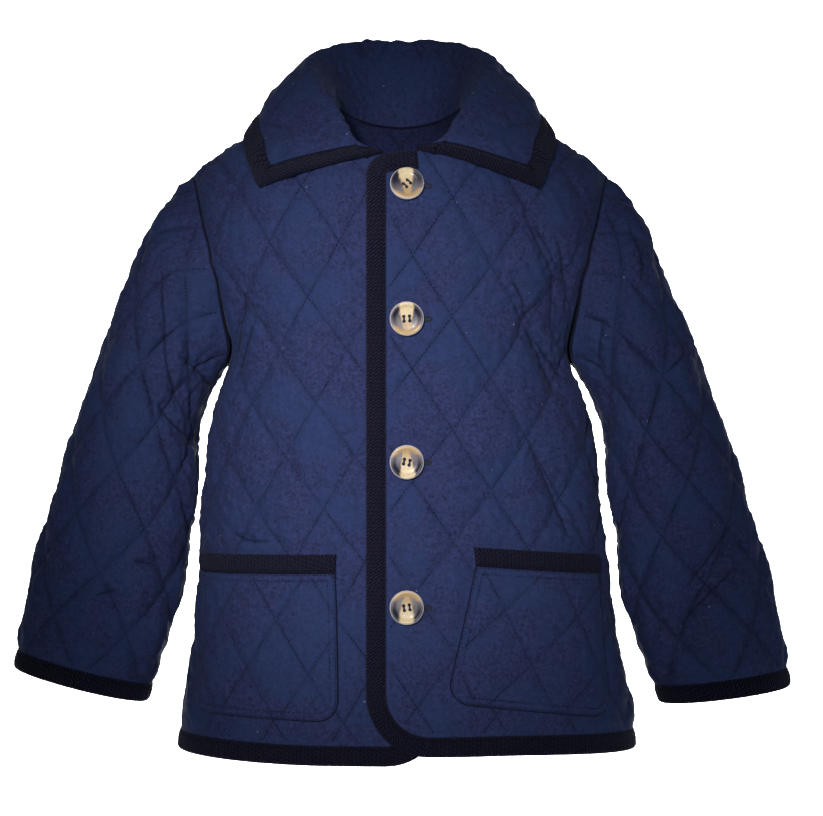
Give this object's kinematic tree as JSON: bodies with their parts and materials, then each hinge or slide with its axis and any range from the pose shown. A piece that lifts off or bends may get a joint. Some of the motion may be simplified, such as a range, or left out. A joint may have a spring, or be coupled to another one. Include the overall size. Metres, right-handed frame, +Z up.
{
  "type": "barn jacket",
  "caption": "Quilted child's barn jacket with turn-down collar, patch pockets, twill edge binding and a buttoned front, filled out as worn.",
  "frame": {"origin": "middle of the neck opening, level with the tops of the shoulders, where the wearer's body carries the jacket", "axes": "+X towards the wearer's left, -Y towards the front, +Z up"},
  "size_m": [0.5472, 0.1817, 0.5137],
  "materials": {
    "quilted_cotton": "matte quilted cotton",
    "twill_binding": "matte brushed twill",
    "horn_button": "polished horn-look resin"
  },
  "bodies": {
    "root": {"back": "quilted_cotton", "front_left": "quilted_cotton", "front_right": "quilted_cotton", "sleeve_left": "quilted_cotton", "sleeve_right": "quilted_cotton", "collar": "quilted_cotton", "pocket_left": "quilted_cotton", "pocket_right": "quilted_cotton", "back_binding": "twill_binding", "front_left_binding": "twill_binding", "front_right_binding": "twill_binding", "pocket_left_binding": "twill_binding", "pocket_right_binding": "twill_binding", "cuff_left_binding": "twill_binding", "cuff_right_binding": "twill_binding", "collar_binding": "twill_binding", "button_1": "horn_button", "button_2": "horn_button", "button_3": "horn_button", "button_4": "horn_button"}
  },
  "joints": []
}
